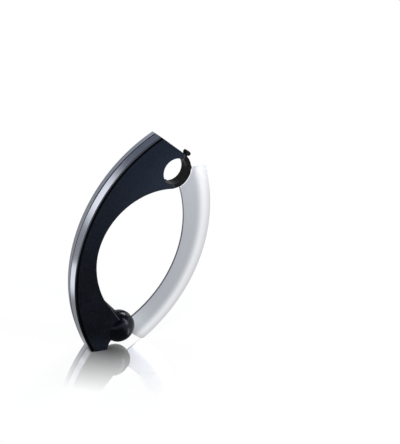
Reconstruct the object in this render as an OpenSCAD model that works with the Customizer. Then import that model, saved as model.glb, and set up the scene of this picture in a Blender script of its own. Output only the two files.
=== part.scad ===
// Rocking pizza knife: an arched handle of two shells, a crescent blade on a
// ball hinge at its lower end, and a ring latch at its upper end.
// Local frame: x runs out from the chord to the blade, y runs along the chord
// from the hinge to the ring, and z runs out of the front face.
// Each part is drawn there and then stood up on the foot by stand().

/* [Layout] */
// Distance from the hinge centre to the ring centre
chord = 210; // [204:1:216]
// Lean of the chord from upright as the knife stands
lean = 13; // [10:0.5:14]
// Height of the hinge centre above the floor
hub_h = 24.9; // [24.9:0.1:26.5]

/* [Handle] */
// Radius of the handle's outer arc, where the spine strips meet the faces
handle_r = 200.9; // [195:0.1:210]
// Rise of that arc from the chord
handle_rise = 89.6; // [86:0.1:93]
// Shift of that arc along the chord, towards the ring
handle_shift = 3.5; // [0:0.1:5]
// Thickness over the two black faces
handle_t = 23.5; // [22.6:0.1:26]
// Gap between the two shells, which takes the blade
slot_t = 3; // [2.9:0.1:3.4]
// Width of the black face at mid grip
grip_w = 24.1; // [20:0.1:26]
// Radius of the finger opening on the handle side
grip_r = 85.8; // [84:0.1:90]
// Radius of the flatter arc that runs from the grip down to the hinge
heel_r = 110; // [104:1:118]
// Direction in which the two arcs of the opening meet
heel_from = 200; // [194:1:206]
// Rounding of the edges round the finger opening
rim_round = 1.4; // [0.6:0.1:2]
// Height of the end cut above the ring centre, on the chord
end_over = 24.2; // [23.8:0.1:26]
// Slope of that end cut
end_slope = 19; // [14:1:22]
// Reach of the two jaws past the chord, round the ring
jaw_x = 3.9; // [3:0.1:5]
// Rounding of the upper jaw
jaw_round = 3.4; // [2:0.1:3.8]
// Distance of the neck's straight edge from the chord
neck_x = 12; // [11:0.1:13]
// Height of the neck's corner below the hinge centre
neck_y = 14.3; // [13.5:0.1:15]
// Distance of the lip's end from the chord, beside the ball
lip_x = 7.3; // [6:0.1:9]
// Height of the lip's end above the hinge centre
lip_y = 17.4; // [16:0.1:18]
// Slope of the opening's straight lip
lip_slope = 31.5; // [28:0.5:36]
// Length of the slope that thins the lip towards its end
lip_cut_l = 22; // [16:1:26]
// Width of that slope on the face, at the lip's end
lip_cut_w = 3.3; // [1:0.1:4]
// Depth of that slope at the lip's end
lip_cut_d = 4; // [2:0.1:5]
// Depth of the hollows inside each shell
hollow_d = 7.6; // [4:0.1:8]
// Width of the hollows across the handle
hollow_w = 14.8; // [10:0.1:15.5]
// Wall between the hollows and the strips' arc
hollow_wall = 4.6; // [4:0.1:6]
// Direction in which the hollows start, from the arc's centre
hollow_from = 152; // [150:1:158]
// Direction in which the hollows end, from the arc's centre
hollow_to = 208; // [200:1:210]
// Number of hollows along each shell
hollow_n = 6; // [3:1:8]
// Thickness of the ribs between the hollows
rib_t = 1.8; // [1.2:0.1:3]

/* [Spine strips] */
// Thickness of the steel strips
strip_t = 1.2; // [0.8:0.1:1.6]
// Slit between the two strips along the ridge
strip_gap = 1.6; // [1:0.1:2]
// Rise of the ridge over the strips' outer edges
crown = 1.7; // [1:0.1:3]
// Set-back of the strips' outer edges from the black faces
strip_in = 0.6; // [0.4:0.1:1]
// Chamfer along the strips' edges
strip_edge = 0.3; // [0.1:0.05:0.4]
// Width of the ledge beside the strips
ledge_w = 1.1; // [0.6:0.1:1.6]
// Width of the shadow groove's floor
groove_w = 0.8; // [0.4:0.1:1.2]
// Depth of the shadow groove below the ledge
groove_d = 0.55; // [0.3:0.05:0.8]
// Width of the slope from that groove out to the face
groove_side = 0.6; // [0.3:0.1:1]
// Radius of the studs that hold the strips
stud_r = 1; // [0.7:0.1:1.3]
// Length of the studs
stud_l = 3.2; // [2.4:0.1:3.6]
// Number of studs on each strip
stud_n = 5; // [3:1:8]
// Direction of the first stud, from the arc's centre
stud_from = 149.5; // [148:0.5:154]
// Direction of the last stud, from the arc's centre
stud_to = 207; // [200:0.5:208]

/* [Ring latch] */
// Outer radius of the latch ring
ring_r = 22.5; // [22:0.1:23]
// Radius of the ring's bore
bore_r = 16.7; // [16:0.1:16.9]
// Half depth of the ring
ring_h = 6.7; // [6:0.1:7]
// Outer radius of the collars that run in the jaws
collar_r = 18.4; // [18:0.1:19]
// Height of each collar
collar_h = 1.2; // [0.8:0.1:1.6]
// Direction of the thumb tab from the ring centre
tab_a = 62; // [58:1:64]
// Width of the thumb tab round the ring
tab_w = 6.8; // [5:0.1:9]
// Thickness of the thumb tab
tab_t = 4.8; // [3:0.1:5.2]
// Depth of the thumb tab, front to back
tab_d = 8; // [7:0.1:12]
// Gap between the ring's rim and the tab's underside
tab_gap = 1.5; // [1.2:0.1:2.4]
// Width of the tab's stem round the ring
stem_w = 4; // [3:0.1:5]
// Depth of the tab's stem, front to back
stem_d = 6; // [5:0.1:7]
// Depth of the stem's socket in the ring
stem_in = 2.5; // [1.5:0.1:3]
// Radius of the catch pin
catch_r = 1; // [0.8:0.1:1.1]
// Depth of the catch pin's centre below the ring's rim
catch_in = 1.8; // [1.7:0.1:2]
// Direction of the catch pin from the ring centre
catch_a = -4; // [-5:0.5:-3]
// Length of the catch pin
catch_l = 8.8; // [7:0.1:10]
// Wall between the ring's bore and the groove for the blade's hook
ring_skin = 1.1; // [0.8:0.1:1.2]
// Rounding of the ring's outer edges
ring_edge = 0.7; // [0.4:0.1:1]
// Turn of the ring that frees the blade
latch_turn = 30; // [20:1:30]

/* [Blade] */
// Thickness of the blade
blade_t = 2.5; // [2:0.1:2.6]
// Radius of the cutting edge
edge_r = 194; // [188:0.1:200]
// Rise of the cutting edge from the chord
edge_rise = 84.1; // [82:0.1:87]
// Width of the blade at its middle
blade_w = 37.2; // [34:0.1:41]
// Radius of the blade's back
back_r = 141.6; // [138:0.1:146]
// Width of the ground bevel
bevel_w = 10; // [8:0.1:16]
// Thickness left at the cutting edge
edge_t = 0.4; // [0.3:0.1:0.8]
// Gap between the ring and the blade's hollow end
ring_gap = 3.7; // [3:0.1:4.4]
// Height of the blade's upper end above the ring centre, at the hollow
top_over = 8.6; // [7:0.1:10]
// Slope of the blade's upper end
top_slope = 13; // [8:1:16]
// Rounding of the upper corner
top_round = 3.6; // [1:0.1:4]
// Direction of the blade's lower end from the hinge centre
low_a = -22.5; // [-23:0.5:-20]
// Rounding of the lower corner
low_round = 4; // [1:0.1:5]
// Clearance of the blade's hook in the ring
hook_gap = 0.3; // [0.25:0.05:0.4]
// Direction of the hook's post from the ring centre
post_a = 3; // [2:0.5:4]
// Width of the hook's post, in degrees round the ring
post_w = 8; // [6:0.5:9]
// Reach of the hook's finger past the post, in degrees round the ring
finger_w = 14; // [12:0.5:15]
// Swing of the blade from latched to fully open
swing = 100; // [80:1:104]

/* [Ball hinge] */
// Radius of the ball in the knife's plane
ball_r = 19.9; // [19:0.1:20.8]
// Half depth of the ball
ball_h = 16.3; // [15:0.1:18]
// Squareness of the ball's shoulders, where 2 is an ellipse
ball_n = 2.5; // [2.2:0.1:3]
// Clearance between the ball and the shells
ball_gap = 0.4; // [0.3:0.05:0.8]
// Chamfer along the ball's parting line
crease = 0.5; // [0.3:0.1:0.8]
// Outer radius of the pivot bush
bush_r = 3; // [2.6:0.1:3.4]
// Half length of the pivot bush
bush_h = 8; // [6:0.1:9]
// Radius of the eye round the pivot bush
eye_r = 8.5; // [7.5:0.1:9]
// Thickness of the eye and its tongue
eye_t = 1.6; // [1.2:0.1:1.8]
// Width of the tongue that carries the eye
tongue_w = 14; // [10:0.5:15]
// Clearance of the hinge plate round the ball
plate_gap = 1.2; // [0.8:0.1:2]
// Thickness of each friction washer
washer_t = 0.4; // [0.3:0.05:0.42]
// Radius of the dowels that key the ball to the blade
dowel_r = 1.5; // [1.2:0.1:1.8]
// Length of those dowels
dowel_l = 12; // [8:0.5:14]

/* [Fasteners] */
// Radius of the screw shanks
screw_r = 1.5; // [1.3:0.1:1.6]
// Radius of the screw heads
head_r = 2.9; // [2.6:0.1:3.2]
// Height of the screw heads
head_h = 1.7; // [1.4:0.1:2]
// Outer radius of the threaded inserts
insert_r = 2.3; // [2.1:0.1:2.6]
// Length of the threaded inserts
insert_l = 5.5; // [4:0.1:6.5]
// Depth of the shell screws' heads below the rear face
head_sink = 0.2; // [0.1:0.1:0.4]
// Depth of the pivot screw's seat below the ball's pole
pivot_sink = 2.4; // [2:0.1:3]
// Radial clearance of pins, screws and bushes in their holes
fit = 0.05; // [0.02:0.01:0.08]

/* [Hidden] */
$fn = 96;
fine = 360;
e = 0.01;
far = 400;
face_z = handle_t / 2;
gap_z = slot_t / 2;
strip_z = face_z - strip_in;
ridge_z = strip_gap / 2;
blade_z = blade_t / 2;
hub = [0, -chord / 2];
ring = [0, chord / 2];
handle_c = [handle_r - handle_rise, handle_shift];
grip_c = [grip_r - handle_rise + grip_w, 0];
heel_c = grip_c + (grip_r - heel_r) * [cos(heel_from), sin(heel_from)];
edge_c = [edge_rise - edge_r, 0];
back_c = [edge_rise - blade_w - back_r, 0];
ridge_r = handle_r + crown;
lip = hub + [-lip_x, lip_y];
// seats of the ring in the shells and in the blade
side_gap = 0.2;
catch_at = ring_r - catch_in;
tab_from = ring_r + tab_gap;
seat_z = ring_h + side_gap;
pocket_r = ring_r + 0.4;
jaw_hole_r = bore_r + side_gap;
recess_r = ring_r + ring_gap;
finger_r = bore_r + ring_skin + hook_gap;
hook_z = blade_z - 0.15;
// the drag washer behind the ring, in directions from the ring centre
drag_t = 0.35;
drag_r = collar_r + 1.1;
drag_from = 102;
drag_to = 248;
// spare room past what sits in a hole, a seat or a groove
spare = 0.4;
spare_a = 3;
stem_root = 0.5;
// the knife's place over its own box
left_x = handle_c[0] * cos(lean) + handle_c[1] * sin(lean) - ridge_r;
right_x = edge_c[0] * cos(lean) + edge_r;
mid_x = (left_x + right_x) / 2;
mid_h = hub_h + chord / 2 * cos(lean);
// the wall in the foot, just past the open blade's lower end
stop_gap = 0.6;
stop_a = low_a - swing - stop_gap;
stop_r = ball_r + 3;
// shell screws, each at a depth inside the handle's arc and a height over the hinge or the ring
low_screws = [[21.4, 12], [11.7, -9], [6.9, -26]];
top_screws = [[7.6, 23], [19.6, 24.5]];
// back of the hinge plate, in the same way, and its two ends beside the ball
plate_back = [[38, 24], [20.9, 21], [6.8, 2], [4.3, -17], [10.8, -18.6]];
plate_ends = [[5 - ball_r, -11], [5 - ball_r, 12]];
// the foot spacer's top, from the hinge centre, under the hinge plate
foot_top = [[-10 - ball_r, -20.4], [-handle_rise, -19]];
// lower edge and right edge of the top spacer, from the ring centre
spacer_y = 16;
spacer_x = 2;
// key dowels, as directions at one radius inside the ball
dowel_at = 15;
dowel_as = [-6, 27];
eye_gap = 1.1;

function polar(r, a) = [r * cos(a), r * sin(a)];
// radius of the ball at a height z, grown by g all round
function ball_at(z, g = 0) = (ball_r + g) * pow(1 - pow(z / (ball_h + g), ball_n), 1 / ball_n);
// outline of one ball half from height z0 to its pole
function ball_curve(z0, g = 0, n = 22) =
    let (a0 = asin(pow(z0 / (ball_h + g), ball_n / 2)))
    [for (i = [0:n])
        let (a = a0 + (90 - a0) * i / n)
        [(ball_r + g) * pow(cos(a), 2 / ball_n), (ball_h + g) * pow(sin(a), 2 / ball_n)]];
// point at a depth inside the handle's arc, at a height over a centre c
function inside(p, c) =
    let (y = c[1] + p[1])
    [handle_c[0] - sqrt(pow(handle_r - p[0], 2) - pow(y - handle_c[1], 2)), y];
// outer radius of the strips at a height z over the middle plane
function roof(z) = ridge_r - crown * (z - gap_z) / (strip_z - gap_z);

// Stands a part up: chord leaning to the right, front face towards -Y
module stand() {
    translate([-mid_x, 0, mid_h]) rotate([0, lean, 0]) rotate([90, 0, 0]) children();
}

module at(p, z = 0) {
    translate([p[0], p[1], z]) children();
}

// The same shape in front of and behind the middle plane
module both() {
    children();
    mirror([0, 0, 1]) children();
}

// A piece of a ring, from direction a1 to direction a2
module sector(r1, r2, a1, a2, h) {
    rotate([0, 0, a1]) rotate_extrude(angle = a2 - a1) translate([r1, 0]) square([r2 - r1, h]);
}

// Everything that lies above the floor
module over_floor(t) {
    at(hub) rotate([0, 0, lean]) translate([-far, -hub_h, -t]) cube([2 * far, far, 2 * t]);
}

// Everything below the handle's end cut
module under_end(t) {
    at(ring) translate([0, end_over, 0]) rotate([0, 0, -end_slope])
        translate([-far, -far, -t]) cube([2 * far, far, 2 * t]);
}

// The finger opening, with rims rounded towards the front face
module opening(c, r) {
    at(c) rotate_extrude($fn = fine) polygon(concat(
        [[0, -e], [r, -e]],
        [for (a = [0:15:90]) [r + rim_round * (1 - cos(a)), face_z - rim_round * (1 - sin(a))]],
        [[r + rim_round, face_z + 1], [0, face_z + 1]]));
}

// Everything above the straight lip between the heel arc and the ball
module over_lip() {
    at(lip) rotate([0, 0, -lip_slope]) translate([-far, 0, -1]) cube([2 * far, far, face_z + 3]);
}

// Section of the handle under a strip, with the ledge and the shadow groove beside it
module handle_section() {
    ledge = roof(strip_z) - strip_t - ledge_w;
    polygon([
        [0, gap_z],
        [roof(gap_z) - strip_t, gap_z],
        [roof(strip_z) - strip_t, strip_z],
        [ledge, strip_z],
        [ledge, strip_z - groove_d],
        [ledge - groove_w, strip_z - groove_d],
        [ledge - groove_w - groove_side, face_z],
        [0, face_z]
    ]);
}

// Edge of the handle towards the blade: jaws, the ball's cradle and the neck
module handle_front() {
    polygon([
        [-far / 2, far / 2],
        ring + [jaw_x, far / 4],
        ring + [jaw_x, -ring_r - 7],
        lip + [0, 14],
        hub + [-lip_x, -neck_y],
        hub + [1 - neck_x, -neck_y - 1.2],
        hub + [-neck_x, -neck_y - 4.6],
        hub + [-neck_x, -far / 4],
        [-far / 2, -far / 2]
    ]);
}

// The handle's arch between the middle gap and the front face, still solid inside
module handle_arch() {
    difference() {
        intersection() {
            at(handle_c) rotate_extrude($fn = fine) handle_section();
            translate([0, 0, gap_z - 1]) linear_extrude(handle_t) handle_front();
            over_floor(handle_t);
            under_end(handle_t);
        }
        opening(grip_c, grip_r);
        intersection() {
            opening(heel_c, heel_r);
            over_lip();
            translate([-far / 2, grip_r * sin(heel_from) - far, -1]) cube([far, far, handle_t]);
        }
        // slope down the lip's end beside the ball
        at(lip, face_z) rotate([0, 0, -lip_slope]) translate([-lip_cut_l, 0, 0])
            rotate([0, 0, -atan(lip_cut_w / lip_cut_l)])
            rotate([-atan(lip_cut_d / lip_cut_w), 0, 0])
            cube([1.5 * lip_cut_l, 2 * lip_cut_d, 2 * lip_cut_d]);
        // round the upper jaw
        at(ring) difference() {
            translate([jaw_x - jaw_round, end_over - 8, gap_z - 1]) cube([12, 16, handle_t]);
            translate([jaw_x - jaw_round, jaw_mid(), gap_z - 2]) cylinder(r = jaw_round, h = far);
            translate([-1, jaw_mid() - 20, gap_z - 3]) cube([40, 20, far]);
        }
    }
}

// One half of the handle, cut for the ring, the ball, the hollows and the studs
module handle_half() {
    difference() {
        handle_arch();
        // seats of the ring
        at(ring, gap_z - 1) cylinder(r = pocket_r, h = seat_z - gap_z + 1, $fn = 128);
        at(ring, gap_z - 1)
            cylinder(r = collar_r + fit, h = seat_z + collar_h - gap_z + 1, $fn = 128);
        at(ring, gap_z - 1) cylinder(r = jaw_hole_r, h = handle_t, $fn = 128);
        // cradle of the ball
        at(hub) rotate_extrude($fn = 128) polygon(concat([[0, 0]], ball_curve(0, ball_gap)));
        // hollows between ribs
        for (i = [0:hollow_n - 1]) {
            step = (hollow_to - hollow_from) / hollow_n;
            a = hollow_from + i * step;
            w = rib_t / handle_r * 90 / PI;
            r = handle_r - hollow_wall;
            at(handle_c, gap_z - 1)
                sector(r - hollow_w, r, a + w, a + step - w, hollow_d + 1, $fn = fine);
        }
        // sockets of the strip studs
        for (i = [0:stud_n - 1]) stud(i, fit);
    }
}

// Height of the upper jaw's rounding over the ring centre
function jaw_mid() = end_over - (jaw_x - jaw_round) * tan(end_slope) - jaw_round / cos(end_slope);

// One strip stud, driven in towards the arc's centre
module stud(i, grow = 0) {
    a = stud_from + i * (stud_to - stud_from) / (stud_n - 1);
    z = (gap_z + strip_z) / 2 + 1;
    at(handle_c, z) rotate([0, 0, a]) translate([roof(z) - strip_t - stud_l - grow, 0, 0])
        rotate([0, 90, 0]) cylinder(r = stud_r + grow, h = stud_l + grow + 0.1, $fn = 24);
}

module each_screw() {
    for (p = low_screws) at(inside(p, hub)) children();
    for (p = top_screws) at(inside(p, ring)) children();
}

module front_shell() {
    color([0.09, 0.11, 0.15]) stand() difference() {
        handle_half();
        each_screw() translate([0, 0, gap_z - 1])
            cylinder(r = insert_r, h = insert_l + 1 + spare, $fn = 32);
    }
}

module rear_shell() {
    color([0.09, 0.11, 0.15]) stand() difference() {
        mirror([0, 0, 1]) handle_half();
        each_screw() translate([0, 0, -far / 2]) cylinder(r = screw_r + fit, h = far / 2, $fn = 32);
        each_screw() translate([0, 0, -face_z - 1])
            cylinder(r = head_r + fit, h = head_sink + head_h + 1, $fn = 32);
        // seat of the drag washer
        at(ring, -seat_z - drag_t) sector(drag_r - fit, pocket_r - spare, drag_from - spare_a,
            drag_to + spare_a, drag_t + 1);
    }
}

// A steel strip of the spine, on the front half
module strip() {
    intersection() {
        at(handle_c) rotate_extrude($fn = fine) polygon([
            [ridge_r - strip_t, ridge_z],
            [ridge_r - strip_edge, ridge_z],
            [ridge_r, ridge_z + strip_edge],
            [ridge_r, gap_z],
            [roof(strip_z - strip_edge), strip_z - strip_edge],
            [roof(strip_z) - strip_edge, strip_z],
            [roof(strip_z) - strip_t, strip_z],
            [ridge_r - strip_t, gap_z]
        ]);
        translate([-far, -far / 2, 0]) cube([far, far, 20]);
        over_floor(handle_t);
        under_end(handle_t);
    }
}

module front_spine_strip() {
    color([0.62, 0.65, 0.7]) stand() strip();
}

module rear_spine_strip() {
    color([0.62, 0.65, 0.7]) stand() mirror([0, 0, 1]) strip();
}

module strip_studs() {
    color([0.5, 0.52, 0.56]) stand() both() for (i = [0:stud_n - 1]) intersection() {
        stud(i);
        at(handle_c) rotate_extrude($fn = fine) polygon([[0, gap_z], [roof(gap_z) - strip_t, gap_z],
            [roof(strip_z) - strip_t, strip_z], [0, strip_z]]);
    }
}

// Fills the gap between the shells at the handle's upper end
module top_spacer() {
    color([0.07, 0.08, 0.1]) stand() difference() {
        intersection() {
            at(handle_c, -gap_z) cylinder(r = ridge_r - strip_t, h = slot_t, $fn = fine);
            under_end(handle_t);
            at(ring + [-handle_rise, spacer_y], -face_z)
                cube([handle_rise + spacer_x, handle_rise, handle_t]);
        }
        at(ring, -face_z) cylinder(r = pocket_r, h = handle_t, $fn = 128);
        screw_holes(top_screws, ring);
    }
}

module screw_holes(ps, c) {
    for (p = ps) at(inside(p, c), -far / 2) cylinder(r = screw_r + fit, h = far, $fn = 32);
}

// Fills the gap in the foot and stops the open blade
module foot_spacer() {
    color([0.07, 0.08, 0.1]) stand() difference() {
        intersection() {
            at(handle_c, -gap_z) cylinder(r = ridge_r - strip_t, h = slot_t, $fn = fine);
            over_floor(handle_t);
            at(hub, -gap_z) linear_extrude(slot_t) polygon(concat(
                [polar(stop_r, stop_a)], foot_top,
                [[-handle_rise, -handle_rise], polar(handle_rise, stop_a)]));
        }
        screw_holes([low_screws[2]], hub);
    }
}

// Steel plate between the shells, whose thin tongue carries the ball's pivot
module hinge_plate() {
    color([0.6, 0.62, 0.66]) stand() difference() {
        union() {
            difference() {
                translate([0, 0, -gap_z]) linear_extrude(slot_t) polygon(concat(
                    [for (p = plate_back) inside(p, hub)], [for (p = plate_ends) hub + p]));
                at(hub, -face_z) cylinder(r = ball_r + plate_gap, h = handle_t, $fn = 128);
            }
            at(hub, -eye_t / 2) cylinder(r = eye_r, h = eye_t, $fn = 64);
            at(hub) translate([-ball_r - 4, -tongue_w / 2, -eye_t / 2])
                cube([ball_r + 4, tongue_w, eye_t]);
        }
        at(hub, -face_z) cylinder(r = bush_r + fit, h = handle_t, $fn = 64);
        screw_holes([low_screws[0], low_screws[1]], hub);
    }
}

module shell_screws() {
    color([0.55, 0.56, 0.6]) stand() each_screw() {
        translate([0, 0, -face_z + head_sink]) cylinder(r = head_r, h = head_h, $fn = 32);
        translate([0, 0, -face_z + 1])
            cylinder(r = screw_r, h = face_z - 1 + gap_z + insert_l - 1, $fn = 32);
    }
}

module shell_inserts() {
    color([0.8, 0.65, 0.35]) stand() each_screw() difference() {
        translate([0, 0, gap_z + fit]) cylinder(r = insert_r, h = insert_l, $fn = 32);
        cylinder(r = screw_r + fit, h = handle_t, $fn = 32);
    }
}

module ring_drag_washer() {
    color([0.6, 0.62, 0.66]) stand() at(ring, -seat_z - drag_t)
        sector(drag_r, pocket_r - 2 * spare, drag_from, drag_to, drag_t);
}

// Half of the ring's section, from the middle to its front face
function ring_section() = [
    [ring_r, 0],
    [ring_r, ring_h - ring_edge],
    [ring_r - ring_edge, ring_h],
    [collar_r, ring_h],
    [collar_r, ring_h + collar_h],
    [bore_r + spare, ring_h + collar_h],
    [bore_r, ring_h + collar_h - spare],
    [bore_r, 0]
];

module latch_ring() {
    half = ring_section();
    n = len(half) - 1;
    color([0.05, 0.05, 0.06]) stand() at(ring) difference() {
        rotate_extrude($fn = 128) polygon(concat(
            [for (i = [1:n - 1]) half[i]],
            [for (i = [n - 1:-1:1]) [half[i][0], -half[i][1]]]));
        // groove for the blade's hook
        translate([0, 0, -blade_z - hook_gap])
            sector(bore_r + ring_skin, ring_r + 2, post_a - finger_w - spare_a,
                post_a + post_w + latch_turn + spare_a, blade_t + 2 * hook_gap);
        at(polar(catch_at, catch_a), -catch_l / 2 - fit)
            cylinder(r = catch_r + fit / 2, h = catch_l + 2 * fit, $fn = 32);
        // socket of the thumb tab
        rotate([0, 0, tab_a]) translate([ring_r - stem_in, -stem_w / 2 - fit, -stem_d / 2 - fit])
            cube([2 * stem_in, stem_w + 2 * fit, stem_d + 2 * fit]);
    }
}

module thumb_tab() {
    color([0.05, 0.05, 0.06]) stand() at(ring) rotate([0, 0, tab_a]) {
        translate([ring_r - stem_in + fit, -stem_w / 2, -stem_d / 2])
            cube([tab_from - ring_r + stem_in + stem_root, stem_w, stem_d]);
        translate([tab_from, 0, 0]) {
            for (s = [-1, 1]) translate([tab_t / 2, s * (tab_w - tab_t) / 2, -tab_d / 2])
                cylinder(r = tab_t / 2, h = tab_d, $fn = 48);
            translate([0, -(tab_w - tab_t) / 2, -tab_d / 2]) cube([tab_t, tab_w - tab_t, tab_d]);
        }
    }
}

module catch_pin() {
    color([0.7, 0.72, 0.75]) stand() at(ring + polar(catch_at, catch_a), -catch_l / 2)
        cylinder(r = catch_r, h = catch_l, $fn = 32);
}

// Centre of a rounding that touches a straight end and the cutting edge
// p is a point on the end, a its direction, s the side that holds the blade
function corner(p, a, s, r) =
    let (n = s * [-sin(a), cos(a)], q = p + n * r - edge_c, d = [cos(a), sin(a)],
        b = q * d, t = -b + sqrt(b * b - q * q + pow(edge_r - r, 2)))
    edge_c + q + t * d;

// Trims the tip between a straight end and the cutting edge
module corner_cut(p, a, s, r) {
    c = corner(p, a, s, r);
    n = s * [-sin(a), cos(a)];
    u = (c - edge_c) / norm(c - edge_c);
    t1 = c - n * r;
    t2 = c + u * r;
    difference() {
        translate([0, 0, -5]) linear_extrude(10) polygon([
            c,
            t1,
            t1 + 3 * r * [cos(a), sin(a)] - n * r,
            t2 + 3 * r * u - n * r,
            t2 + r * u,
            t2
        ]);
        at(c, -6) cylinder(r = r - 0.02, h = 12, $fn = 64);
    }
}

// Section of the blade from the arc's centre out to the cutting edge
module blade_section() {
    polygon([
        [0, -blade_z],
        [edge_r - bevel_w, -blade_z],
        [edge_r, -edge_t / 2],
        [edge_r, edge_t / 2],
        [edge_r - bevel_w, blade_z],
        [0, blade_z]
    ]);
}

// Hook behind the catch pin: a post on the blade's end with a finger, ground thinner
module hook() {
    at(ring, -hook_z) difference() {
        sector(finger_r, recess_r + 1, post_a - finger_w, post_a + post_w, 2 * hook_z);
        translate([0, 0, -1])
            sector(catch_at - catch_r - hook_gap, far, post_a - finger_w - 5, post_a, 5);
    }
}

module blade() {
    top_p = ring + [sqrt(recess_r * recess_r - top_over * top_over), top_over];
    color([0.75, 0.77, 0.8]) stand() difference() {
        union() {
            difference() {
                intersection() {
                    at(edge_c) rotate_extrude($fn = fine) blade_section();
                    at(hub) rotate([0, 0, low_a]) translate([-far, 0, -5]) cube([2 * far, far, 10]);
                    at(top_p) rotate([0, 0, top_slope]) translate([-far, -far, -5])
                        cube([2 * far, far, 10]);
                    translate([-ball_r, -far, -5]) cube([far, 2 * far, 10]);
                }
                at(back_c, -5) cylinder(r = back_r, h = 10, $fn = fine);
                at(ring, -5) cylinder(r = recess_r, h = 10, $fn = 128);
                at(hub, -5) cylinder(r = eye_r + eye_gap, h = 10, $fn = 64);
                corner_cut(hub, low_a, 1, low_round);
                corner_cut(top_p, top_slope, -1, top_round);
            }
            hook();
        }
        for (a = dowel_as) at(hub + polar(dowel_at, a), -5)
            cylinder(r = dowel_r + fit, h = 10, $fn = 32);
    }
}

// One half of the ball, with its bores for the bush and the key dowels
module ball_half() {
    difference() {
        rotate_extrude($fn = 128) polygon(concat(
            [[0, blade_z], [ball_at(blade_z + crease) - crease, blade_z]],
            ball_curve(blade_z + crease)));
        translate([0, 0, -1]) cylinder(r = bush_r + fit / 2, h = bush_h + 1 + fit, $fn = 64);
        for (a = dowel_as) at(polar(dowel_at, a), -1)
            cylinder(r = dowel_r + fit / 2, h = dowel_l / 2 + 1 + fit, $fn = 32);
    }
}

module front_ball_half() {
    color([0.04, 0.04, 0.05]) stand() at(hub) difference() {
        ball_half();
        cylinder(r = insert_r, h = bush_h + insert_l + spare, $fn = 32);
    }
}

module rear_ball_half() {
    color([0.04, 0.04, 0.05]) stand() at(hub) difference() {
        mirror([0, 0, 1]) ball_half();
        translate([0, 0, -ball_h - 1]) cylinder(r = screw_r + fit, h = ball_h, $fn = 32);
        translate([0, 0, -ball_h - 1]) cylinder(r = head_r + spare / 2, h = pivot_sink + 1, $fn = 32);
    }
}

module pivot_bush() {
    color([0.7, 0.71, 0.74]) stand() at(hub, -bush_h) difference() {
        cylinder(r = bush_r, h = 2 * bush_h, $fn = 64);
        translate([0, 0, -1]) cylinder(r = screw_r + fit, h = 2 * bush_h + 2, $fn = 32);
    }
}

module pivot_screw() {
    color([0.55, 0.56, 0.6]) stand() at(hub) {
        translate([0, 0, -ball_h + pivot_sink - head_h]) cylinder(r = head_r, h = head_h, $fn = 32);
        translate([0, 0, -ball_h + pivot_sink - e])
            cylinder(r = screw_r, h = ball_h - pivot_sink + bush_h + insert_l - 1, $fn = 32);
    }
}

module pivot_insert() {
    color([0.8, 0.65, 0.35]) stand() at(hub, bush_h + fit) difference() {
        cylinder(r = insert_r, h = insert_l, $fn = 32);
        translate([0, 0, -1]) cylinder(r = screw_r + fit, h = insert_l + 2, $fn = 32);
    }
}

module friction_washers() {
    color([0.85, 0.85, 0.82]) stand() both() at(hub, eye_t / 2 + 0.02) difference() {
        cylinder(r = eye_r - spare, h = washer_t, $fn = 64);
        translate([0, 0, -1]) cylinder(r = bush_r + 2 * fit, h = 3, $fn = 64);
    }
}

module key_dowels() {
    color([0.7, 0.71, 0.74]) stand() for (a = dowel_as)
        at(hub + polar(dowel_at, a), -dowel_l / 2) cylinder(r = dowel_r, h = dowel_l, $fn = 32);
}

front_shell();
rear_shell();
front_spine_strip();
rear_spine_strip();
strip_studs();
top_spacer();
foot_spacer();
hinge_plate();
shell_screws();
shell_inserts();
ring_drag_washer();
latch_ring();
thumb_tab();
catch_pin();
blade();
front_ball_half();
rear_ball_half();
pivot_bush();
pivot_screw();
pivot_insert();
friction_washers();
key_dowels();
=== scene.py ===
# %% [markdown]
# # A rocking pizza knife
#
# The knife stands on its foot and leans to the right, and the lower corner of its blade is just
# clear of the floor. An arched handle of two black shells carries a spine of two steel strips.
# A crescent blade swings on a ball at the lower end, and a ring holds it at the upper end.
# The finishes come first, then the pieces from the handle to the latch, and last the floor, the
# light and the camera.

import math

import bpy
from mathutils import Matrix, Vector


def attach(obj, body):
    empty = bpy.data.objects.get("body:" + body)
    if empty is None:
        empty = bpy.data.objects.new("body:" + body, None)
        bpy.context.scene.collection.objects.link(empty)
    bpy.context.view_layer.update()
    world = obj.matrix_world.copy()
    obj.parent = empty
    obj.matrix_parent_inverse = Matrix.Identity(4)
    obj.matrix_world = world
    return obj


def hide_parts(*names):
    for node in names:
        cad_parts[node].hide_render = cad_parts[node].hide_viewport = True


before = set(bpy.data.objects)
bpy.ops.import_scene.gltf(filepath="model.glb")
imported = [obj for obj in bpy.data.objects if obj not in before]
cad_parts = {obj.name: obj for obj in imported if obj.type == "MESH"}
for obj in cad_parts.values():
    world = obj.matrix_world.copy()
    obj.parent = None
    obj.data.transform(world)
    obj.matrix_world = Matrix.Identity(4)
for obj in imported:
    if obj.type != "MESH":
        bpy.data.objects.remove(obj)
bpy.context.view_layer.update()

# %% [markdown]
# ## Drawing lying down, standing up at the end
#
# The knife is easiest to draw flat, in millimetres, with the hinge centre and the ring centre on
# one straight line, the chord. x runs out from the chord to the blade, y runs along it from hinge
# to ring, and z runs out of the front face. One matrix then stands each finished piece up and turns
# millimetres into metres, so that its object can stay at the origin.

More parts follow.
